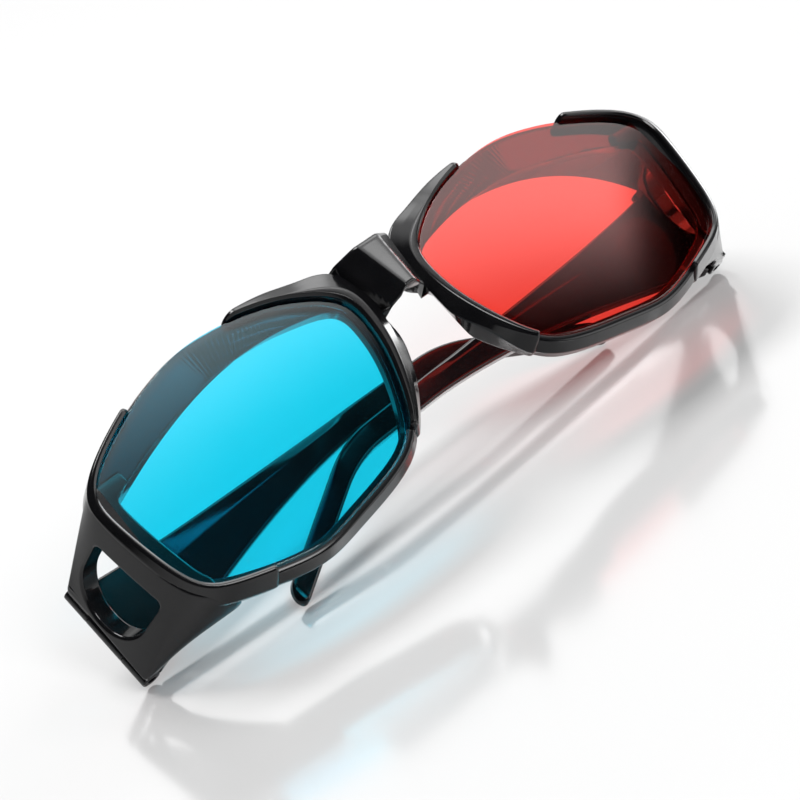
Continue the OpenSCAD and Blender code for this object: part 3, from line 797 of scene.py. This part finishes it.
def screw_tree(finish):
    """Nodes that turn one slotted screw and set it at every point of the mesh that comes in."""
    tree = bpy.data.node_groups.new("slotted_screws", "GeometryNodeTree")
    tree.interface.new_socket("Geometry", in_out="INPUT", socket_type="NodeSocketGeometry")
    for label in ("Shank Radius", "Shank Length", "Head Radius", "Head Height", "Slot Width", "Slot Depth"):
        tree.interface.new_socket(label, in_out="INPUT", socket_type="NodeSocketFloat")
    tree.interface.new_socket("Geometry", in_out="OUTPUT", socket_type="NodeSocketGeometry")
    wire = Wire(tree)
    entry = tree.nodes.new("NodeGroupInput")
    size = {socket.name: Wire(tree, socket) for socket in entry.outputs if socket.name}
    def vector(x, y, z):
        return wire.node("ShaderNodeCombineXYZ", None, {"X": x, "Y": y, "Z": z})
    def bar(radius, length):
        return wire.node("GeometryNodeMeshCylinder", {"fill_type": "NGON"},
                         {"Vertices": 40, "Radius": size[radius], "Depth": size[length]}, "Mesh")
    def lifted(mesh, up):
        return wire.node("GeometryNodeTransform", None, {"Geometry": mesh, "Translation": vector(0.0, 0.0, up)})
    def joined(operation, first, second):
        # Both meshes enter by the Boolean's one socket for many meshes
        made = wire.node("GeometryNodeMeshBoolean", {"operation": operation}, {"Mesh 2": first}, "Mesh")
        tree.links.new(second.socket, made.socket.node.inputs["Mesh 2"])
        return made
    shank = bar("Shank Radius", "Shank Length")
    head = bar("Head Radius", "Head Height")
    dome = wire.node("GeometryNodeMeshUVSphere", None,
                     {"Segments": 40, "Rings": 24, "Radius": size["Head Radius"] * DOME_RADIUS}, "Mesh")
    cap = joined("INTERSECT", head, lifted(dome, size["Head Height"] * DOME_SUNK))
    screw = joined("UNION", shank, lifted(cap, (size["Shank Length"] - size["Head Height"]) * 0.5))
    slot = wire.node("GeometryNodeMeshCube", None,
                     {"Size": vector(size["Head Radius"] * 3.0, size["Slot Width"], size["Slot Depth"] * 2.0)},
                     "Mesh")
    screw = wire.node("GeometryNodeMeshBoolean", {"operation": "DIFFERENCE"},
                      {"Mesh 1": screw, "Mesh 2": lifted(slot, size["Shank Length"] * 0.5)}, "Mesh")
    aim = wire.node("GeometryNodeInputNamedAttribute", {"data_type": "FLOAT_VECTOR"}, {"Name": "axis"}, "Attribute")
    turn = wire.node("FunctionNodeAlignRotationToVector", {"axis": "Z"}, {"Vector": aim}, "Rotation")
    placed = wire.node("GeometryNodeInstanceOnPoints", None,
                       {"Points": size["Geometry"], "Instance": screw, "Rotation": turn}, "Instances")
    real = wire.node("GeometryNodeRealizeInstances", None, {"Geometry": placed}, "Geometry")
    dressed = wire.node("GeometryNodeSetMaterial", None, {"Geometry": real, "Material": finish}, "Geometry")
    wire.node("NodeGroupOutput", None, {"Geometry": dressed})
    return tree


screw_mid = np.array([at_hinge([(0, 0, -0.1)], side)[0] for side in (-1, 1)])
screw_top = np.array([at_hinge([(0, 0, 1)], side)[0] for side in (-1, 1)])
screw_axis = lay(screw_top) - lay(screw_mid)
screws_mesh = bpy.data.meshes.new("hinge_screws")
screws_mesh.from_pydata([tuple(p) for p in lay(screw_mid)], [], [])
axis_layer = screws_mesh.attributes.new("axis", "FLOAT_VECTOR", "POINT")
axis_layer.data.foreach_set("vector", (screw_axis / np.linalg.norm(screw_axis, axis=1)[:, None]).ravel())
screws = bpy.data.objects.new("hinge_screws", screws_mesh)
bpy.context.scene.collection.objects.link(screws)
maker = screws.modifiers.new("screws", "NODES")
maker.node_group = screw_tree(brushed_steel("turned_steel"))
screw_sizes = {"Shank Radius": SCREW_RADIUS, "Shank Length": HINGE_SPAN - 0.2, "Head Radius": SCREW_HEAD_RADIUS,
               "Head Height": HEAD_TALL - 0.1, "Slot Width": SLOT_WIDE, "Slot Depth": SLOT_DEEP}
for item in maker.node_group.interface.items_tree:
    if item.in_out == "INPUT" and item.name in screw_sizes:
        maker[item.identifier] = screw_sizes[item.name] / 1000
screws = smoothed(applied(screws), 30)
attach(screws, "front")
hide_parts("hinge_screw_left", "hinge_screw_right")


# Floor: a pale polished table top that the glasses lie on, set a hair below them. It mirrors them faintly and
# keeps their coloured shadow.
FLOOR_HALF, FLOOR_LEVEL = 3.0, -0.0002
FLOOR_GLOW, FLOOR_MIRROR, FLOOR_EDGE_MIRROR, FLOOR_ROUGH = 0.12, 0.27, 0.4, 0.13


def ray_kinds(wire, *labels):
    """Wires that are 1 for rays of the named kinds."""
    path = wire.node("ShaderNodeLightPath")
    return [Wire(path.tree, path.socket.node.outputs[label]) for label in labels]


floor_mesh = bpy.data.meshes.new("floor")
floor_mesh.from_pydata([(-FLOOR_HALF, -FLOOR_HALF, 0), (FLOOR_HALF, -FLOOR_HALF, 0), (FLOOR_HALF, FLOOR_HALF, 0),
                        (-FLOOR_HALF, FLOOR_HALF, 0)], [], [(0, 1, 2, 3)])
floor = bpy.data.objects.new("floor", floor_mesh)
floor.location.z = FLOOR_LEVEL
bpy.context.scene.collection.objects.link(floor)
floor_finish, wire = blank_finish("polished_white_top")
seen, passed = ray_kinds(wire, "Is Camera Ray", "Is Transmission Ray")
matt = wire.node("ShaderNodeBsdfDiffuse", None, {"Color": (0.8, 0.8, 0.8, 1)})
glow = wire.node("ShaderNodeEmission", None, {"Color": (1, 1, 1, 1), "Strength": (seen + passed) * FLOOR_GLOW})
top = wire.node("ShaderNodeAddShader", None, {0: matt, 1: glow})
polish = wire.node("ShaderNodeBsdfAnisotropic", None, {"Color": (1, 1, 1, 1), "Roughness": FLOOR_ROUGH})
slant = wire.node("ShaderNodeFresnel", None, {"IOR": 1.5})
top = wire.node("ShaderNodeMixShader", None, {0: FLOOR_MIRROR + FLOOR_EDGE_MIRROR * slant, 1: top, 2: polish})
wire.node("ShaderNodeOutputMaterial", None, {"Surface": top})
floor_mesh.materials.append(floor_finish)


# Light: a white room that the camera sees as plain white. The gloss mirrors a bright ceiling and white cards in
# it, as in a photographer's light tent, and soft lamps round the table give the shadows.
ROOM_LIGHT, CEILING_LIGHT, CEILING_FALL = 0.3, 2.4, 1.4
BRIGHT_WAY, SIDE_WAY, RIGHT_WAY = (-0.073, 0.916, 0.394), (1.0, -0.867, 0.0), (1.0, 0.0, 0.0)
# Each card's direction, where its soft border starts and ends, and its light: at the side, low in front, above
CARDS = (((0.93, -0.06, 0.36), 0.968, 0.99, 7.0), ((0.629, -0.731, 0.264), 0.91, 0.97, 2.0),
         ((0.5, 0.36, 0.787), 0.955, 0.985, 3.5))
world = bpy.data.worlds.new("white_room")
bpy.context.scene.world = world
world.use_nodes = True
world.node_tree.nodes.clear()
wire = Wire(world.node_tree)
seen, mirrored, passed = ray_kinds(wire, "Is Camera Ray", "Is Glossy Ray", "Is Transmission Ray")
way = wire.node("ShaderNodeTexCoord", output="Generated")


def toward_way(aim):
    """How far a direction of the room points along an aim."""
    return wire.node("ShaderNodeVectorMath", {"operation": "DOT_PRODUCT"}, {0: way, 1: aim}, "Value")


def eased_range(value, low, high, at_low, at_high):
    """Goes from one value to another over a range, with level ends."""
    return wire.node("ShaderNodeMapRange", {"interpolation_type": "SMOOTHSTEP"},
                     {"Value": value, "From Min": low, "From Max": high, "To Min": at_low, "To Max": at_high})


# What the gloss mirrors: the ceiling, darker behind and ending softly to the left and at the far right, and the cards
facing = toward_way(BRIGHT_WAY)
bright = (eased_range(facing, -0.115, -0.058, 0.01, CEILING_LIGHT)
          - eased_range(facing, 0.35, 0.68, 0.0, CEILING_FALL))
bright = bright * eased_range(toward_way(RIGHT_WAY), -0.15, 0.3, 0.0, 1.0)
bright = bright * eased_range(toward_way(SIDE_WAY), 0.965, 0.985, 1.0, 0.0)
for card, border, full, light in CARDS:
    bright = bright + eased_range(toward_way(card), border, full, 0.0, light)
through = wire.node("ShaderNodeMath", {"operation": "MINIMUM"}, {0: seen + passed, 1: 1.0})
only_mirrored = mirrored * (1.0 - through)
strength = ROOM_LIGHT + (1.0 - ROOM_LIGHT) * through + only_mirrored * (bright - ROOM_LIGHT)
sky = wire.node("ShaderNodeBackground", None, {"Color": (1, 1, 1, 1), "Strength": strength})
wire.node("ShaderNodeOutputWorld", None, {"Surface": sky})


LAMP_AIM = Vector((0, 0, 0.02))
for name, place, wide, high, watts in (
        ("top_box", (-0.09, 0.4, 0.78), 0.45, 0.35, 4.8), ("front_box", (0.0, -0.55, 0.6), 0.25, 0.25, 1.7),
        ("saddle_box", (0.36, -0.16, 0.7), 0.16, 0.16, 0.33), ("right_box", (0.8, -0.02, 0.26), 0.16, 0.16, 0.9),
        ("low_box", (0.9, 0.16, 0.14), 0.5, 0.2, 1.0)):
    lamp = bpy.data.lights.new(name, "AREA")
    lamp.shape, lamp.size, lamp.size_y, lamp.energy = "RECTANGLE", wide, high, watts
    box = bpy.data.objects.new(name, lamp)
    box.location = place
    box.rotation_euler = (LAMP_AIM - Vector(place)).to_track_quat("-Z", "Y").to_euler()
    bpy.context.scene.collection.objects.link(box)


# Camera: close and low from the front left, rolled as the photographer held it. Its focal length, in pixels of
# the picture, gives the slight perspective of the photo.
AZIMUTH, ELEVATION, ROLL = (math.radians(v) for v in (-30.7, 27.2, -20.2))
CAMERA_FAR, CAMERA_FOCAL_PX, IMAGE_PX = 0.54, 3000.0, 800.0
AIM_RIGHT, AIM_UP, AIM_LIFT = -0.0041, -0.0074, 0.025
toward = np.array([math.sin(AZIMUTH) * math.cos(ELEVATION), -math.cos(AZIMUTH) * math.cos(ELEVATION),
                   math.sin(ELEVATION)])
level = np.array([math.cos(AZIMUTH), math.sin(AZIMUTH), 0.0])
rising = np.cross(toward, level)
right = math.cos(ROLL) * level + math.sin(ROLL) * rising
above = -math.sin(ROLL) * level + math.cos(ROLL) * rising
eye = np.array([0, 0, AIM_LIFT]) + AIM_RIGHT * right + AIM_UP * above + CAMERA_FAR * toward
camera_data = bpy.data.cameras.new("camera")
camera_data.sensor_width = 36.0
camera_data.lens = CAMERA_FOCAL_PX * camera_data.sensor_width / IMAGE_PX
camera_data.clip_start = 0.01
camera = bpy.data.objects.new("camera", camera_data)
camera.matrix_world = Matrix([[right[i], above[i], toward[i], eye[i]] for i in range(3)] + [[0, 0, 0, 1]])
bpy.context.scene.collection.objects.link(camera)
bpy.context.scene.camera = camera
bpy.context.scene.view_settings.view_transform = "Standard"
